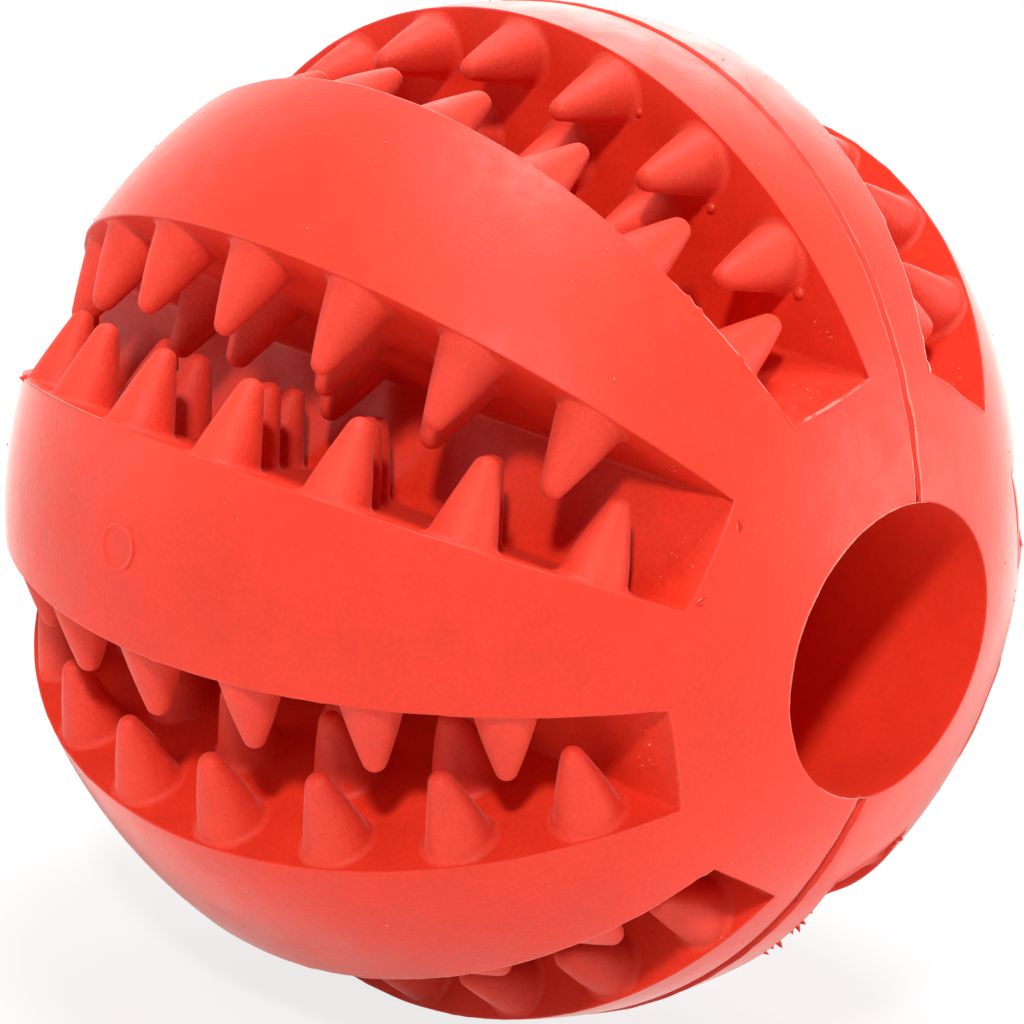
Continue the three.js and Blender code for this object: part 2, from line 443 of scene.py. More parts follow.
def make_tooth(side, x, h, length, rng):
    """A rounded cone with a fillet at its foot, each a little different."""
    length *= 1 + rng.uniform(-0.02, 0.02)
    tip = TIP_RADIUS * (1 + rng.uniform(-0.08, 0.12))
    swell = rng.uniform(0.03, 0.1)
    stray = rng.normal(0, 0.05, 2)
    tip_height = length - tip
    slope = math.atan2(FOOT_RADIUS - tip, tip_height)
    shoulder_height = tip_height + tip * math.sin(slope)
    shoulder_radius = tip * math.cos(slope)

    def cone_radius(share):
        """Radius at a share of the height from the foot to the shoulder."""
        return FOOT_RADIUS + (shoulder_radius - FOOT_RADIUS) * share + swell * 4 * share * (1 - share)

    rings = []
    fillet = fillets(x, h)
    for step in range(FILLET_STEPS + 1):
        turn = step / FILLET_STEPS * math.pi / 2
        height = fillet * (1 - math.cos(turn))
        rings.append((cone_radius(height / shoulder_height) + fillet * (1 - math.sin(turn)), height))
    above_fillet = 0.16
    for share in np.linspace(above_fillet, 1.0, CONE_RINGS):
        height = np.full(TOOTH_SIDES, share * shoulder_height)
        rings.append((cone_radius(share), height))
    for share in np.linspace(0, 1, TIP_RINGS + 1)[1:]:
        turn = slope + (math.pi / 2 - slope) * share
        height = np.full(TOOTH_SIDES, tip_height + tip * math.sin(turn))
        rings.append((tip * math.cos(turn), height))

    foot = on_wall(side, x, h)
    up = wall_up(side)
    along = np.array([1.0, 0.0, 0.0])
    direction = wall_normal(side) * math.cos(TOOTH_LEAN) - up * math.sin(TOOTH_LEAN)
    turn = circle_angles(TOOTH_SIDES)
    rows = []
    for radius, height in rings:
        ring = foot + (radius * np.cos(turn))[:, None] * along + (radius * np.sin(turn))[:, None] * up
        ring = ring + height[:, None] * direction
        ring = ring + ((height / length) ** 2)[:, None] * (stray[0] * along + stray[1] * up)
        rows.append(np.concatenate([ring, ring[:1]]))
    return grid(np.stack(rows), TOOTH)


def sector_matrix(slot):
    """From a slot's own frame to the ball's."""
    angle = (slot + 0.5) * 2 * HALF_SECTOR
    onwards = np.array([0.0, -math.cos(angle), -math.sin(angle)])
    outwards = np.array([0.0, -math.sin(angle), math.cos(angle)])
    return np.stack([np.array([1.0, 0.0, 0.0]), onwards, outwards])


def on_rim(slot, side, turn):
    """Point of a slot's rim in the ball's frame, at a turn in degrees along the rim from its middle."""
    turn = math.radians(turn)
    return on_wall(side, WALL_RADIUS * math.sin(turn), WALL_RADIUS * math.cos(turn)) @ sector_matrix(slot)


def weld(patches):
    """Joins patches: points that lie together become one.

    Returns the points, their normals, lifts and exact marks, then the faces and their zones.
    """
    points = np.concatenate([p.points for p in patches])
    normals = np.concatenate([p.normals for p in patches])
    lifts = np.concatenate([p.lifts for p in patches])
    exact = np.concatenate([np.full(len(p.points), p.exact) for p in patches])
    steps_per_mm = 1000
    off_the_grid = 0.000137  # keeps round numbers clear of the place where rounding turns
    key = np.round((points + off_the_grid) * steps_per_mm).astype(np.int64)
    order = np.argsort(~exact, kind="stable")
    _, first, back = np.unique(key[order], axis=0, return_index=True, return_inverse=True)
    index = np.empty(len(points), np.int64)
    index[order] = back.ravel()
    chosen = order[first]
    faces = []
    zones = []
    start = 0
    for p in patches:
        corners = index[p.faces + start]
        if corners.shape[1] == 3:
            corners = np.concatenate([corners, corners[:, 2:]], axis=1)
        faces.append(corners)
        zones.append(np.full(len(corners), p.zone))
        start += len(p.points)
    kept = (points[chosen], normals[chosen], lifts[chosen], exact[chosen])
    return (*kept, np.concatenate(faces), np.concatenate(zones))


def without_repeats(faces, zones):
    """Faces with each corner named once, and their zones. Faces with fewer than three corners go."""
    kept = []
    kept_zones = []
    for corners, zone in zip(faces.tolist(), zones.tolist()):
        corners = list(dict.fromkeys(corners))
        if len(corners) > 2:
            kept.append(corners)
            kept_zones.append(zone)
    return kept, np.array(kept_zones)


def smooth_noise(points, size, seed):
    """Noise between about -1 and 1 at each point, with features of the given size in mm."""
    shift = Vector((seed * 7.31, seed * 3.77, seed * 5.13))
    return np.array([noise.noise(Vector(p) / size + shift) for p in points])


def bell(distance, width):
    """1 at no distance, and falling to nothing well past the width."""
    return np.exp(-(distance / width) ** 2)


def seam_sway(along):
    """How far the seam wanders to the side, in mm, at points of the seam. It's most near the bore."""
    by_bore = bell(np.abs(along[:, 0]) - MOUTH_X, 9.0)
    return (0.05 + 0.17 * by_bore) * smooth_noise(along, 2.2, 5) + 0.12 * smooth_noise(along, 9.0, 6)


def seam_moves(points, half):
    """The seam: a groove on the front half's edge, and a thin wavy lip on the rear half's. All in mm."""
    farthest = 0.8
    deepest = 0.3
    on_skin = np.linalg.norm(points, axis=1) > BALL_RADIUS - deepest
    which = np.flatnonzero(on_skin & (np.abs(points[:, 1]) < farthest))
    here = points[which]
    away = np.abs(here[:, 1])
    along = here * np.array([1.0, 0.0, 1.0])
    rough = smooth_noise(along, 1.3, 1)
    slow = smooth_noise(along, 7.0, 2)
    under = 1 / (1 + np.exp(along[:, 2] / 3))  # from 0 at the top of the ball to 1 at the bottom
    if half == "front":
        depth = 0.17 + 0.05 * slow + 0.05 * rough + 0.1 * under
        width = 0.19 + 0.28 * under
        height = -depth * bell(away, width)
    else:
        lip_place = 0.14
        lip_width = 0.16
        height = (0.16 + 0.03 * slow + 0.06 * rough) * bell(away - lip_place, lip_width)
        height -= 0.08 * under * bell(away, 0.12)
    moves = np.zeros_like(points)
    moves[which] = unit(here) * height[:, None]
    moves[which, 1] += seam_sway(along) * bell(away, 0.4)
    return moves


# Places where a rim is torn: the place, how badly it is torn, and how far that reaches in mm
SORE_PLACES = (
    (on_rim(0, 1, 44), 1.0, 2.2),
    (on_rim(0, 1, 53), 0.55, 3.5),
    (on_rim(5, 1, 45), 0.5, 4.0),
)


def rim_moves(points, lifts):
    """Flash on the rims, most ragged at the sore places, and a thin lip at the slots' ends. All in mm."""
    least_lift = 0.05
    which = np.flatnonzero(np.linalg.norm(lifts, axis=1) > least_lift)
    here = points[which]
    ragged = 0.4 * np.maximum(0, smooth_noise(here, 0.9, 3) + 0.1)
    ragged *= np.maximum(0, smooth_noise(here, 7.0, 4) + 0.15)
    sore = np.zeros(len(here))
    for place, share, size in SORE_PLACES:
        sore += share * bell(np.linalg.norm(here - place, axis=1), size)
    ragged += 1.6 * sore * np.maximum(0, smooth_noise(here, 0.75, 7) + 0.05)
    from_axis = np.linalg.norm(here[:, 1:], axis=1)
    end_reach = 0.3
    floor_reach = 0.2
    at_end = (np.abs(here[:, 0]) > HALF_CREASE - end_reach) & (from_axis > FLOOR_FROM_AXIS - floor_reach)
    end_lip = 0.16 + 0.12 * smooth_noise(here, 2.5, 8)
    side_lip = 0.05 + 0.05 * smooth_noise(here, 3.0, 9)
    lip = np.maximum(np.where(at_end, end_lip, side_lip), 0)
    moves = np.zeros_like(points)
    moves[which] = lifts[which] * (0.35 * ragged + lip)[:, None]
    return moves


def vertex_normals(points, faces, zones):
    """Normals of the skin, from its faces of four corners or of three with the last one twice."""
    use = faces[zones != JOIN]
    a, b, c, d = (points[use[:, k]] for k in range(4))
    face = np.cross(c - a, d - b)
    three = use[:, 2] == use[:, 3]
    face[three] = np.cross(b[three] - a[three], c[three] - a[three])
    total = np.zeros_like(points)
    for k in range(4):
        np.add.at(total, use[:, k], face)
    return unit(total)


def turn_faces_out(mesh):
    """Makes the faces smooth and turns them outwards.

    Returns how many edges don't lie between just two faces, and the volume in cubic metres.
    """
    bm = bmesh.new()
    bm.from_mesh(mesh)
    bmesh.ops.recalc_face_normals(bm, faces=bm.faces)
    bad_edges = sum(1 for edge in bm.edges if len(edge.link_faces) != 2)
    volume = bm.calc_volume()
    bm.to_mesh(mesh)
    bm.free()
    mesh.polygons.foreach_set("use_smooth", np.ones(len(mesh.polygons), bool))
    return bad_edges, volume


def add_object(name, data):
    piece = bpy.data.objects.new(name, data)
    bpy.context.scene.collection.objects.link(piece)
    return piece


def build_half(name, slots, seed, shell, materials):
    """The skin of one half, with a groove or a lip at the seam and flash on the rims."""
    rng = np.random.default_rng(seed)
    placed = []
    for slot in slots:
        teeth = [make_tooth(side, *foot, rng) for side in (-1, 1) for foot in row_feet(side)]
        placed += [patch.placed(sector_matrix(slot)) for patch in shell + teeth]
    for slot, side in ((slots[0], -1), (slots[-1], 1)):
        placed.append(seam_patch(shell, side).placed(sector_matrix(slot)))
    points, normals, lifts, exact, faces, zones = weld(placed)
    faces, zones = without_repeats(faces, zones)
    moves = seam_moves(points, name) + rim_moves(points, lifts)
    points = points + moves

    mesh = bpy.data.meshes.new(name + "_half_skin")
    mesh.from_pydata((points / MM_PER_METRE).tolist(), [], faces)
    mesh.polygons.foreach_set("material_index", zones.astype(np.int32))
    bad_edges, volume = turn_faces_out(mesh)
    print("SKIN", name, len(points), len(faces), "bad edges", bad_edges, "volume cm3", volume * 1e6)

    # Exact normals where the skin wasn't moved, and computed ones elsewhere
    corners = [list(face.vertices) for face in mesh.polygons]
    four = np.array([c if len(c) == 4 else c + c[-1:] for c in corners])
    least_move = 0.003
    still = exact & (np.linalg.norm(moves, axis=1) < least_move)
    normals = np.where(still[:, None], unit(normals), vertex_normals(points, four, zones))
    mesh.normals_split_custom_set_from_vertices(normals.tolist())
    for material in materials:
        mesh.materials.append(material)
    piece = add_object(name + "_half_skin", mesh)
    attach(piece, "root")
    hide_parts(name + "_half")


def add_node(tree, kind, inputs, **settings):
    """A new shader node. Each of its inputs is a value or the output of another node."""
    node = tree.nodes.new("ShaderNode" + kind)
    for setting, value in settings.items():
        setattr(node, setting, value)
    fill(tree, node, inputs)
    return node


def fill(tree, node, inputs):
    for socket, value in inputs.items():
        if isinstance(value, bpy.types.NodeSocket):
            tree.links.new(value, node.inputs[socket])
        else:
            node.inputs[socket].default_value = value


def noise_output(tree, where, size, detail):
    """Noise with features of the given size in mm."""
    inputs = {"Vector": where, "Scale": MM_PER_METRE / size, "Detail": detail, "Roughness": 0.6}
    return add_node(tree, "TexNoise", inputs).outputs["Fac"]


def ramp_output(tree, share, low, high):
    """Colour between two colours by a noise."""
    ramp = add_node(tree, "ValToRGB", {"Fac": share})
    first, last = ramp.color_ramp.elements
    first.position = 0.32
    last.position = 0.68
    first.color = (*low, 1)
    last.color = (*high, 1)
    return ramp.outputs["Color"]


def darker(colour, depth):
    """A colour made darker, and in its green and blue more than in its red."""
    return [part * (1 - depth * share) for part, share in zip(colour, (1, 1.6, 1.6))]


def product(tree, one, other):
    """Two colours multiplied. The colour inputs of a Mix node are 6 and 7, and its colour output is 2."""
    inputs = {"Factor": 1.0, 6: one, 7: other}
    return add_node(tree, "Mix", inputs, data_type="RGBA", blend_type="MULTIPLY").outputs[2]


def seam_shade_output(tree, where, wander, depth):
    """Painted shade of the seam's groove: 1 all over the ball, and less by depth on a thin uneven line along
    the seam. Lengths in metres.
    """
    y = add_node(tree, "SeparateXYZ", {"Vector": where}).outputs["Y"]
    swing = 0.0005
    to_middle = -0.00028
    shift = add_node(tree, "Math", {0: wander, 1: swing, 2: to_middle}, operation="MULTIPLY_ADD")
    away = add_node(tree, "Math", {0: y, 1: shift.outputs[0]}, operation="ADD")
    size = add_node(tree, "Math", {0: away.outputs[0]}, operation="ABSOLUTE")
    inputs = {"Value": size.outputs[0], "From Min": 0.00003, "From Max": 0.00022, "To Min": 1 - depth}
    return add_node(tree, "MapRange", inputs, interpolation_type="SMOOTHSTEP").outputs["Result"]


def rubber(name, colour, roughness, grain, grain_size, blotch=0.1, sheen=0.0, seam_shade=0.0, gloss=0.3):
    """Red rubber with a blotchy, speckled colour, uneven gloss and a fine grain, in the ball's coordinates.

    The grain's depth and size are in mm. Blotch darkens the colour in patches, the rubber's own uneven tone;
    the seam share darkens it on a thin line along the seam, as painted shade of the seam's groove.
    """
    material = bpy.data.materials.new(name)
    material.use_nodes = True
    tree = material.node_tree
    where = add_node(tree, "TexCoord", {}).outputs["Object"]
    broad = noise_output(tree, where, 11, 4)
    middle = noise_output(tree, where, 2.4, 3)
    fine = noise_output(tree, where, grain_size, 3)

    white = (1, 1, 1)
    bright = [min(1.0, part * (1 + blotch * 0.5)) for part in colour]
    mixed = ramp_output(tree, broad, darker(colour, blotch), bright)
    mixed = product(tree, mixed, ramp_output(tree, middle, darker(white, blotch * 0.7), white))
    mixed = product(tree, mixed, ramp_output(tree, fine, darker(white, blotch * 1.3), white))
    # Painted shade: a darker thin line along the seam's groove
    if seam_shade:
        mixed = product(tree, mixed, seam_shade_output(tree, where, middle, seam_shade))

    swing = 0.08
    uneven = {"Value": middle, "From Min": 0.3, "From Max": 0.7,
              "To Min": roughness - swing, "To Max": roughness + swing}
    bumps = {"Height": middle, "Strength": 1.0, "Distance": grain * 1.4 / MM_PER_METRE}
    low = add_node(tree, "Bump", bumps).outputs["Normal"]
    bumps = {"Height": fine, "Strength": 1.0, "Distance": grain / MM_PER_METRE, "Normal": low}
    high = add_node(tree, "Bump", bumps).outputs["Normal"]
    fill(tree, tree.nodes["Principled BSDF"], {
        "Base Color": mixed,
        "Roughness": add_node(tree, "MapRange", uneven).outputs["Result"],
        "Normal": high,
        "Subsurface Weight": 0.08,
        "Subsurface Radius": (1.0, 0.25, 0.15),
        "Subsurface Scale": 0.0009,
        "Specular IOR Level": gloss,
        "Sheen Weight": sheen,
        "Sheen Roughness": 0.3,
        "Sheen Tint": (1.0, 0.86, 0.8, 1),
    })
    return material


RED = (0.83, 0.042, 0.016)
materials = [
    # The outer skin carries painted shade on a thin line along the seam's groove
    rubber("rubber_outer", RED, 0.5, 0.018, 0.3, blotch=0.075, sheen=0.9, seam_shade=0.2),
    rubber("rubber_wall", RED, 0.56, 0.02, 0.25, blotch=0.09, sheen=0.04, gloss=0.16),
    rubber("rubber_floor", RED, 0.42, 0.014, 0.3, blotch=0.1, sheen=0.12, gloss=0.28),
    rubber("rubber_tooth", (0.83, 0.056, 0.027), 0.58, 0.055, 0.22, blotch=0.09, sheen=0.12),
    rubber("rubber_bore", RED, 0.55, 0.012, 0.4, blotch=0.06, sheen=0.02, gloss=0.15),
    rubber("rubber_join", RED, 0.6, 0.01, 0.4),
]
# Paler rubber: the own colour of the crumbs and specks of flash, partly a painted highlight on the threads of
# flash, and a painted highlight on the tears' lit edges
pale = rubber("rubber_flash_and_painted_highlight", (0.88, 0.24, 0.18), 0.35, 0.004, 0.2)
# Darker rubber for the tears: painted shade standing for the shade inside each tear
deep = rubber("rubber_tear_painted_shade", (0.66, 0.026, 0.01), 0.6, 0.01, 0.3)
clear = rubber("rubber_drop", (0.8, 0.06, 0.03), 0.12, 0.002, 0.3)

shell = make_shell()
build_half("front", range(0, 4), 11, shell, materials)
build_half("rear", range(4, 8), 12, shell, materials)


def small_piece(name, points, faces, material):
    """A small closed piece of rubber that rides on the ball. Points in mm, in the ball's frame."""
    mesh = bpy.data.meshes.new(name)
    in_metres = np.asarray(points) / MM_PER_METRE
    mesh.from_pydata(in_metres.tolist(), [], [list(face) for face in faces])
    turn_faces_out(mesh)
    mesh.materials.append(material)
    piece = add_object(name, mesh)
    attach(piece, "root")


def stacked_piece(name, rings, material):
    """A small piece made of a stack of closed rings, with a cap at each end."""
    count = len(rings)
    columns = len(rings[0])
    faces = []
    for row in range(count - 1):
        start = row * columns
        for c in range(columns):
            d = (c + 1) % columns
            faces.append((start + c, start + d, start + columns + d, start + columns + c))
    faces.append(tuple(range(columns)))
    faces.append(tuple((count - 1) * columns + c for c in range(columns)))
    small_piece(name, np.concatenate(rings), faces, material)


def square_to(direction):
    """Two unit vectors square to a direction and to each other."""
    direction = np.asarray(direction, float) / np.linalg.norm(direction)
    helper = [1.0, 0.0, 0.0] if abs(direction[0]) < 0.9 else [0.0, 0.0, 1.0]
    first = np.cross(direction, helper)
    first /= np.linalg.norm(first)
    return first, np.cross(direction, first)


def toward(theta, alpha):
    """Unit vector at theta degrees from +X and alpha degrees round the bore, from +Z towards -Y."""
    theta = math.radians(theta)
    alpha = math.radians(alpha)
    around = math.sin(theta)
    return np.array([math.cos(theta), -around * math.sin(alpha), around * math.cos(alpha)])


# Section of the mould mark from its middle outwards: share of its radius, and height over the ball in mm.
# The last two rings close it inside the rubber.
MARK_SECTION = (
    (0.02, 0.0), (0.3, 0.02), (0.62, 0.022), (0.78, 0.012), (0.84, 0.04), (0.885, 0.13),
    (0.94, 0.15), (0.98, 0.06), (1.0, -0.08), (0.9, -0.3), (0.02, -0.3),
)
MARK_SIDES = 72


def mould_mark(name, theta, alpha, radius):
    """The round print of an ejector pin: a low raised ring round a flat, slightly proud disc."""
    way = toward(theta, alpha)
    ring = oval(MARK_SIDES, *square_to(way))
    rings = []
    for share, height in MARK_SECTION:
        r = radius * share
        rings.append(ring * r + way * (math.sqrt(BALL_RADIUS ** 2 - r * r) + height))
    stacked_piece(name, rings, materials[OUTER])


TEAR_STATIONS = 25
TEAR_SIDES = 10
TEAR_SINK = 0.05
TEAR_END = 0.15  # share of the thickness that is left at both ends
TEAR_FLATNESS = 0.6


def tear(name, theta, alpha, radius, thickness, first, span, material):
    """A small ear-shaped tear: a bent sliver sunk into the ball, thin at both ends. Turns in degrees. In the
    dark rubber it is painted shade inside the tear; in the pale rubber, painted highlight on its lit edge.
    """
    way = toward(theta, alpha)
    u, v = square_to(way)
    rings = []
    for share in np.linspace(0, 1, TEAR_STATIONS):
        turn = math.radians(first + span * share)
        side = u * math.cos(turn) + v * math.sin(turn)
        centre = unit(way * BALL_RADIUS + side * radius) * (BALL_RADIUS - TEAR_SINK)
        size = thickness * (TEAR_END + math.sin(math.pi * share))
        rings.append(centre + size * oval(TEAR_SIDES, side * TEAR_FLATNESS, way))
    stacked_piece(name, rings, material)


NIB_STATIONS = 9
NIB_SIDES = 12
NIB_SINK = 0.15
NIB_POINT = 0.012
NIB_SPREAD = 0.12  # of the bend in mm, and of the radius as a share
NIB_WIDE = 1.5
NIB_THIN = 0.7


def nib(name, slot, side, turn, length, width, lean, seed):
    """A thin ragged spike of flash on a rim. Sizes in mm."""
    foot = on_rim(slot, side, turn)
    way = unit(unit(foot) + 0.5 * lean * np.array([1.0, 0.0, 0.0]))
    u, v = square_to(way)
    rng = np.random.default_rng(seed)
    bend = rng.normal(0, NIB_SPREAD, 2)
    rings = []
    for share in np.linspace(0, 1, NIB_STATIONS):
        size = width * (1 - share) ** 0.8 + NIB_POINT
        centre = foot + way * (length * share - NIB_SINK) + (u * bend[0] + v * bend[1]) * share * share
        wobble = 1 + rng.normal(0, NIB_SPREAD, NIB_SIDES)
        rings.append(centre + size * wobble[:, None] * oval(NIB_SIDES, u * NIB_WIDE, v * NIB_THIN))
    stacked_piece(name, rings, materials[OUTER])


DROP_ROWS = 13
DROP_SIDES = 20
DROP_FLATNESS = 0.8
DROP_RISE = 0.1  # of its middle over the wall, as a share of its radius before flattening


def drop(name, place, normal, radius):
    """A small drop of rubber on a wall, a little flattened."""
    ring = oval(DROP_SIDES, *square_to(normal))
    rings = []
    for row in range(DROP_ROWS):
        tilt = -math.pi / 2 + math.pi * (row + 0.5) / DROP_ROWS
        rise = normal * radius * DROP_FLATNESS * (DROP_RISE + math.sin(tilt))
        rings.append(place + ring * radius * math.cos(tilt) + rise)
    stacked_piece(name, rings, clear)


THREAD_SIDES = 8


def thread(name, path, radius, seed, lift=0.0):
    """A thin uneven thread of flash along a line of points, in mm. Its pale colour is partly painted
    highlight on the thin edge.
    """
    rng = np.random.default_rng(seed)
    ahead = unit(np.gradient(path, axis=0))
    rings = []
    for i, centre in enumerate(path):
        u, v = square_to(ahead[i])
        fade = math.sin(math.pi * (i + 0.5) / len(path)) ** 0.3
        uneven = 0.55 + 0.9 * abs(smooth_noise(centre[None], 1.1, seed)[0]) + rng.uniform(0, 0.25)
        wobble = smooth_noise(centre[None], 0.8, seed + 1)[0] * radius * 0.8
        ring = radius * fade * uneven * oval(THREAD_SIDES, u, v)
        rings.append(centre + unit(centre) * (wobble + lift) + ring)
    stacked_piece(name, rings, pale)


def end_edge(slot, first, last, count):
    """Points along the edge where a slot's floor meets the ball at +X, between shares of its width."""
    fine = 200
    steps = np.linspace(-HALF_FLOOR, HALF_FLOOR, fine)[int(fine * first):int(fine * last)]
    y = np.interp(np.linspace(0, 1, count), np.linspace(0, 1, len(steps)), steps)
    x = np.sqrt(BALL_RADIUS ** 2 - y * y - FLOOR_FROM_AXIS ** 2)
    return vec(x, y, FLOOR_FROM_AXIS) @ sector_matrix(slot)


def rim_edge(slot, side, first, last, count):
    return np.array([on_rim(slot, side, turn) for turn in np.linspace(first, last, count)])


def mouth_edge(first, last, count):
    """Points along the bore's mouth, between two angles round the bore in degrees."""
    theta = math.degrees(MOUTH_THETA)
    radius = BALL_RADIUS - 0.03
    return np.array([toward(theta, alpha) * radius for alpha in np.linspace(first, last, count)])


def seam_edge(first, last, count, from_seam):
    """Points beside the seam over the top of the ball, between two angles from +X in degrees."""
    along = np.array([toward(theta, 0) * BALL_RADIUS for theta in np.linspace(first, last, count)])
    along[:, 1] = seam_sway(along) + from_seam
    return along


CRUMB_LIFT = 0.02
CRUMB_SHIFT = 0.2  # of each corner, as a share of the crumb's size


def crumbs(name, spots, seed):
    """Crumbs of flash, each a small uneven octahedron. A spot has a place, normal, spread and number."""
    ends = [sign * axis for axis in np.eye(3) for sign in (1, -1)]
    sides = ((0, 2, 4), (2, 1, 4), (1, 3, 4), (3, 0, 4), (2, 0, 5), (1, 2, 5), (3, 1, 5), (0, 3, 5))
    rng = np.random.default_rng(seed)
    points = []
    faces = []
    for place, normal, spread, number in spots:
        u, v = square_to(normal)
        for _ in range(number):
            centre = place + u * rng.normal(0, spread) + v * rng.normal(0, spread) + normal * CRUMB_LIFT
            size = rng.uniform(0.04, 0.11)
            start = len(points)
            faces += [(start + a, start + b, start + c) for a, b, c in sides]
            for end in ends:
                points.append(centre + unit(rng.normal(0, 1, 3)) * CRUMB_SHIFT * size + size * end)
    small_piece(name, points, faces, pale)


def slot_spots():
    """Places near both ends of every slot: one on the floor and one on each wall."""
    spots = []
    for slot in range(SLOTS):
        to_ball = sector_matrix(slot)
        for way in (-1, 1):
            on_floor = np.array([way * 28.3, 0.5, FLOOR_FROM_AXIS]) @ to_ball
            spots.append((on_floor, np.array([0, 0, 1.0]) @ to_ball, 0.9, 7))
            for side in (-1, 1):
                place = on_wall(side, way * 26.5, 19.6) @ to_ball
                spots.append((place, wall_normal(side) @ to_ball, 0.7, 5))
    return spots


def on_skin(place):
    """Whether a point of the ball lies clear of the bore and of every slot."""
    margin = 0.5
    if math.hypot(place[1], place[2]) < BORE_RADIUS + margin:
        return False
    for slot in range(SLOTS):
        _, y, z = sector_matrix(slot) @ place
        half_width = HALF_FLOOR + (z - FLOOR_FROM_AXIS) * math.tan(HALF_SPREAD)
        if z > FLOOR_FROM_AXIS - margin and abs(y) < half_width + margin:
            return False
    return True


# The mould mark, and two tears beside the end of the slot in the middle of the photograph
mould_mark("mould_mark", 91.4, 90.7, 1.55)
# Each tear is a dark sliver of painted shade and a pale sliver of painted highlight on its lit edge
tear("tear_a", 28.45, 59.8, 0.5, 0.21, 250, 110, deep)
tear("tear_a_painted_highlight", 28.45, 59.8, 0.24, 0.085, 235, 140, pale)
tear("tear_b", 29.15, 75.7, 0.62, 0.21, 183, 92, deep)
tear("tear_b_painted_highlight", 29.15, 75.7, 0.38, 0.08, 190, 78, pale)

# Nibs on the rims: slot, side, turn along the rim, length, width and lean
NIBS = (
    (4, -1, 44.6, 0.45, 0.16, 0.3),
    (4, -1, 46.0, 0.3, 0.2, -0.2),
    (4, -1, 47.4, 0.6, 0.2, -0.3),
    (4, -1, 50.2, 0.35, 0.15, 0.4),
    (4, -1, 51.4, 0.6, 0.18, 0.1),
    (4, -1, 52.3, 0.45, 0.2, 0.6),
    (4, -1, 54.5, 0.25, 0.14, 0.5),
    (4, 1, 57.5, 0.35, 0.25, 0.2),
    (4, 1, 55.8, 0.2, 0.22, -0.3),
    (6, -1, 52.5, 0.25, 0.22, 0.1),
    (6, -1, 51.3, 0.2, 0.2, 0.1),
    (1, 1, -34.5, 0.5, 0.2, -0.6),
)
for number, form in enumerate(NIBS):
    nib("nib_%d" % number, *form, seed=40 + number)

# Threads of flash at the slots' ends, on two rims, on the seam's lip and at the bore's mouth, pale partly as
# painted highlight
LIP_HEIGHT = 0.13
thread("flash_end_a", end_edge(0, 0.02, 0.97, 90), 0.12, 61)
thread("flash_end_b", end_edge(1, 0.05, 0.6, 60), 0.05, 62)
thread("flash_end_c", end_edge(2, 0.3, 0.98, 60), 0.05, 63)
thread("flash_rim_a", rim_edge(0, 1, 41, 58, 120), 0.07, 64)
thread("flash_rim_b", rim_edge(1, 1, -33, -8, 120), 0.045, 65)
thread("flash_seam_a", seam_edge(16.5, 34, 110, 0.16), 0.11, 71, LIP_HEIGHT)
thread("flash_seam_b", seam_edge(35, 48, 80, 0.17), 0.055, 72, LIP_HEIGHT)
thread("flash_seam_c", seam_edge(50, 78, 120, 0.17), 0.04, 73, LIP_HEIGHT)
thread("flash_mouth_a", mouth_edge(-5, 105, 130), 0.06, 66)
thread("flash_mouth_b", mouth_edge(150, 182, 40), 0.05, 67)

# Crumbs near the slots' ends, and specks all over the ribs
SPECK_TRIES = 260
crumbs("flash_crumbs", slot_spots(), 81)
ways = unit(np.random.default_rng(91).normal(0, 1, (SPECK_TRIES, 3)))
crumbs("specks", [(way * BALL_RADIUS, way, 0.0, 1) for way in ways if on_skin(way * BALL_RADIUS)], 92)

# Drops on a wall of the top slot: x along the bore, height on the wall and radius
DROPS = ((17.0, 25.5, 0.36), (24.5, 21.6, 0.42), (10.6, 30.5, 0.3), (23.6, 22.6, 0.2))
for number, (x, h, radius) in enumerate(DROPS):
    drop("drop_%d" % number, on_wall(-1, x, h) @ sector_matrix(0), wall_normal(-1) @ sector_matrix(0), radius)

# The photograph's camera, found by fitting the slots' edges, the bore's mouth and the tooth tips.
# Lengths from here on are in metres.
AZIMUTH = math.radians(41.90)
ELEVATION = math.radians(13.06)
ROLL = math.radians(9.06)
CAMERA_DISTANCE = 0.2462
FLOOR_Z = -0.0353
flat = math.cos(ELEVATION)
back = Vector((math.sin(AZIMUTH) * flat, -math.cos(AZIMUTH) * flat, math.sin(ELEVATION)))
level = Vector((math.cos(AZIMUTH), math.sin(AZIMUTH), 0))
upright = back.cross(level)
right = level * math.cos(ROLL) + upright * math.sin(ROLL)
up = upright * math.cos(ROLL) - level * math.sin(ROLL)


def add_camera():
    data = bpy.data.cameras.new("camera")
    data.lens = 124.73
    data.sensor_width = 36
    data.shift_x = -0.0013
    data.shift_y = -0.0018
    data.clip_start = 0.01
    data.clip_end = 20
    camera = add_object("camera", data)
    camera.matrix_world = Matrix((right, up, back)).transposed().to_4x4()
    camera.location = back * CAMERA_DISTANCE
    bpy.context.scene.camera = camera


def add_lamp(name, place, size, power):
    """A round area lamp that looks at the ball's middle. Its place is to the camera's right, up and back."""
    data = bpy.data.lights.new(name, "AREA")
    data.shape = "DISK"
    data.size = size
    data.energy = power
    lamp = add_object(name, data)
    lamp.location = right * place[0] + up * place[1] + back * place[2]
    lamp.rotation_mode = "QUATERNION"
    lamp.rotation_quaternion = (-lamp.location).to_track_quat("-Z", "Y")


def seen_output(tree):
    """1 for rays that show the background: from the camera, or by way of glossy or clear surfaces."""
    rays = add_node(tree, "LightPath", {}).outputs
    either = add_node(tree, "Math", {0: rays["Is Camera Ray"], 1: rays["Is Glossy Ray"]}, operation="MAXIMUM")
    inputs = {0: either.outputs[0], 1: rays["Is Transmission Ray"]}
    return add_node(tree, "Math", inputs, operation="MAXIMUM").outputs[0]


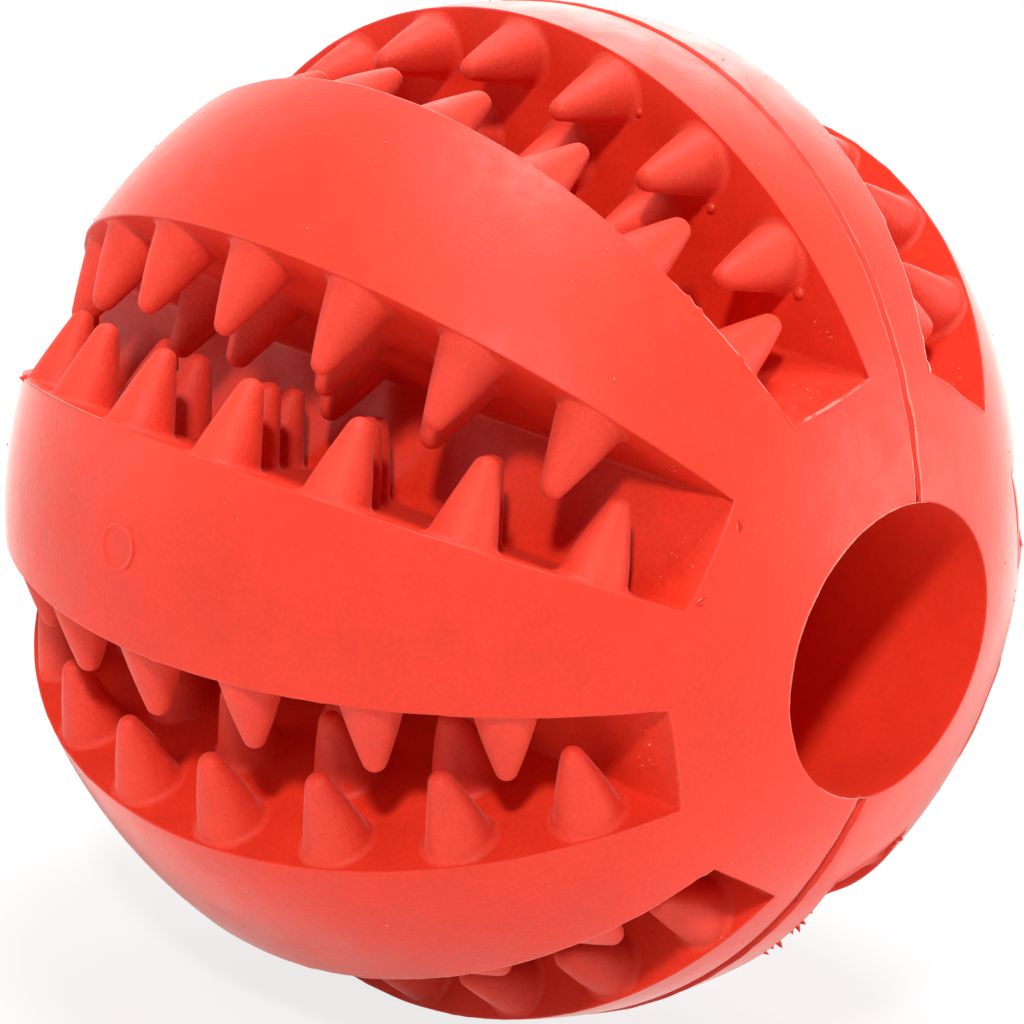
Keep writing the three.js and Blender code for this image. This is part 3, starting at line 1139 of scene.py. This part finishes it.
def add_world():
    """A white background, and a soft light from all around that is much weaker."""
    world = bpy.data.worlds.new("studio")
    bpy.context.scene.world = world
    world.use_nodes = True
    tree = world.node_tree
    tree.nodes.clear()
    soft = add_node(tree, "Background", {"Color": (1, 1, 1, 1), "Strength": 0.04})
    white = add_node(tree, "Background", {"Color": (1, 1, 1, 1), "Strength": 1.0})
    mix = add_node(tree, "MixShader", {"Fac": seen_output(tree), 1: soft.outputs[0], 2: white.outputs[0]})
    add_node(tree, "OutputWorld", {"Surface": mix.outputs[0]})


def add_floor():
    """White paper just below the ball. It looks white, and a little of the ball's shadow shows near it."""
    bpy.ops.mesh.primitive_plane_add(size=6, location=(0, 0, FLOOR_Z))
    ground = bpy.context.object
    ground.name = "studio_floor"
    paper = bpy.data.materials.new("studio_paper")
    paper.use_nodes = True
    tree = paper.node_tree
    sheet = tree.nodes["Principled BSDF"]
    fill(tree, sheet, {"Base Color": (0.8, 0.8, 0.8, 1), "Roughness": 0.9, "Specular IOR Level": 0.0})
    glow = add_node(tree, "Emission", {"Strength": 1.0})
    place = add_node(tree, "TexCoord", {}).outputs["Object"]
    reach = add_node(tree, "VectorMath", {0: place}, operation="LENGTH")
    inputs = {"Value": reach.outputs["Value"], "From Min": 0.03, "From Max": 0.13, "To Min": 0.8}
    fade = add_node(tree, "MapRange", inputs)
    inputs = {0: seen_output(tree), 1: fade.outputs["Result"]}
    share = add_node(tree, "Math", inputs, operation="MULTIPLY")
    mix = add_node(tree, "MixShader", {"Fac": share.outputs[0], 1: sheet.outputs[0], 2: glow.outputs[0]})
    fill(tree, tree.nodes["Material Output"], {"Surface": mix.outputs[0]})
    ground.data.materials.append(paper)


add_camera()
add_lamp("key", (-0.05, 0.30, 0.66), 0.07, 3.6)
add_lamp("top", (0.05, 0.70, 0.16), 0.28, 4.4)
add_lamp("side", (0.64, 0.02, 0.04), 0.40, 2.9)
add_lamp("back", (0.10, 0.42, -0.52), 0.50, 3.2)
add_lamp("left", (-0.62, 0.12, 0.0), 0.40, 1.0)
add_world()
add_floor()

bpy.context.scene.view_settings.view_transform = "Standard"
